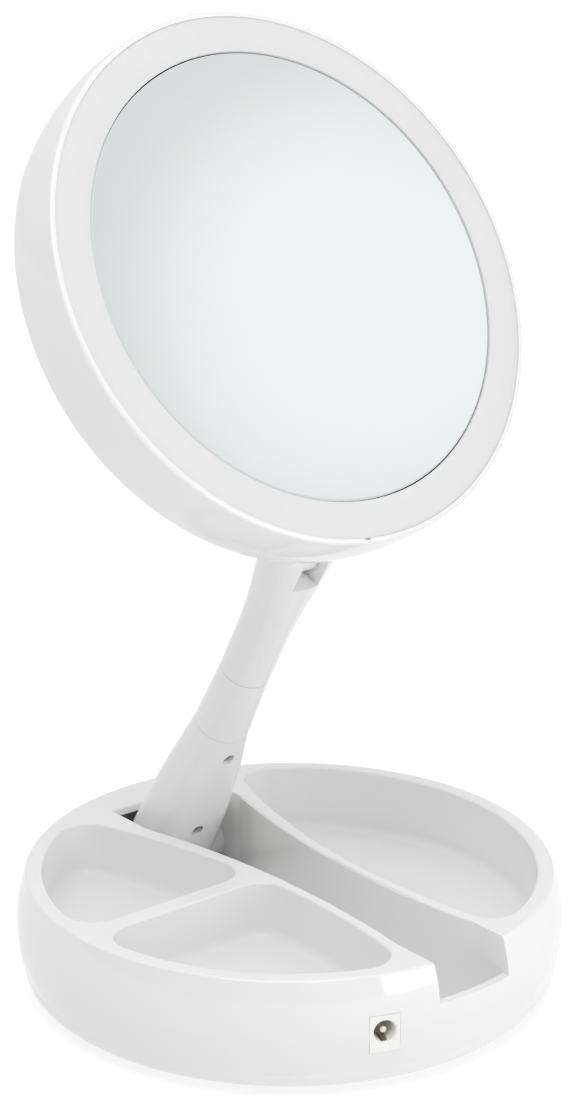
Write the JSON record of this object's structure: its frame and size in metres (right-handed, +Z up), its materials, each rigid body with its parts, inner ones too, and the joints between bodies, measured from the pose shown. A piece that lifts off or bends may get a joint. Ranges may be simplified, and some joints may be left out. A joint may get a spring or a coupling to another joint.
{
  "type": "folding lighted make-up mirror",
  "caption": "Fold-flat make-up mirror: a round mirror with a frosted light ring on a swivelling arm that folds into the channel of a round organiser tray base.",
  "frame": {"origin": "centre of the round base on the table plane, under the rubber feet", "axes": "+Z up; -Y toward the open end of the arm channel and the finger notch; +X to the right of someone facing the mirror from the notch side, along both fold axes"},
  "size_m": [0.1674, 0.1674, 0.2885],
  "materials": {
    "white_gloss": "gloss",
    "pan_white": "gloss",
    "frosted": "frosted",
    "mirror": "silvered glass",
    "inner_plastic": "moulded",
    "socket_white": "satin",
    "steel": "bright",
    "contact_metal": "nickel plated",
    "rubber": "matt",
    "nylon": "plain",
    "board": "solder mask",
    "white_board": "white solder mask",
    "led": "phosphor",
    "cell": "plain sleeve",
    "switch_black": "moulded"
  },
  "bodies": {
    "base": {"base_tray": "white_gloss", "base_pan": "pan_white", "battery_door": "pan_white", "battery_cells": "cell", "battery_contacts": "contact_metal", "rubber_feet": "rubber", "base_screws": "steel", "jack_body": "socket_white", "jack_pin": "contact_metal", "jack_spring": "contact_metal", "driver_board": "board", "switch_body": "switch_black", "pivot_pin": "steel", "pivot_washers": "nylon"},
    "switch": {"switch_plunger": "switch_black"},
    "lower_arm": {"lower_arm_front": "white_gloss", "lower_arm_back": "white_gloss", "arm_screws": "steel", "swivel_collar": "white_gloss"},
    "upper_arm": {"upper_arm": "white_gloss", "swivel_shaft": "nylon"},
    "hinge": {"hinge_pin": "steel", "hinge_washers": "nylon"},
    "head": {"head_cup": "white_gloss", "hinge_lug": "white_gloss", "lug_screws": "steel", "mirror_carrier": "inner_plastic", "head_screws": "steel", "mirror_glass": "mirror", "diffuser_ring": "frosted", "led_board": "white_board", "leds": "led"}
  },
  "joints": [
    {"name": "arm_fold", "type": "hinge", "parent": "base", "child": "lower_arm", "pos_m": [0, 0.065, 0.0165], "axis": [1, 0, 0], "range_deg": [0, 60]},
    {"name": "switch_press", "type": "slide", "parent": "base", "child": "switch", "axis": [0, 0, -1], "range_m": [0, 0.0015]},
    {"name": "arm_swivel", "type": "hinge", "parent": "lower_arm", "child": "upper_arm", "pos_m": [0, 0.0214, 0.09202], "axis": [0, -0.5, 0.866], "range_deg": [0, 360]},
    {"name": "head_fold", "type": "hinge", "parent": "upper_arm", "child": "hinge", "pos_m": [0, -0.0031, 0.13445], "axis": [-1, 0, 0], "range_deg": [0, 121]},
    {"name": "head_tilt", "type": "hinge", "parent": "hinge", "child": "head", "pos_m": [0, -0.0031, 0.13445], "axis": [1, 0, 0], "range_deg": [0, 60]}
  ],
  "couplings": [
    {"joint": "head_fold", "follows": "arm_fold", "ratio": 2.0167},
    {"joint": "switch_press", "follows": "arm_fold", "m_per_rad": 0.0014324}
  ]
}
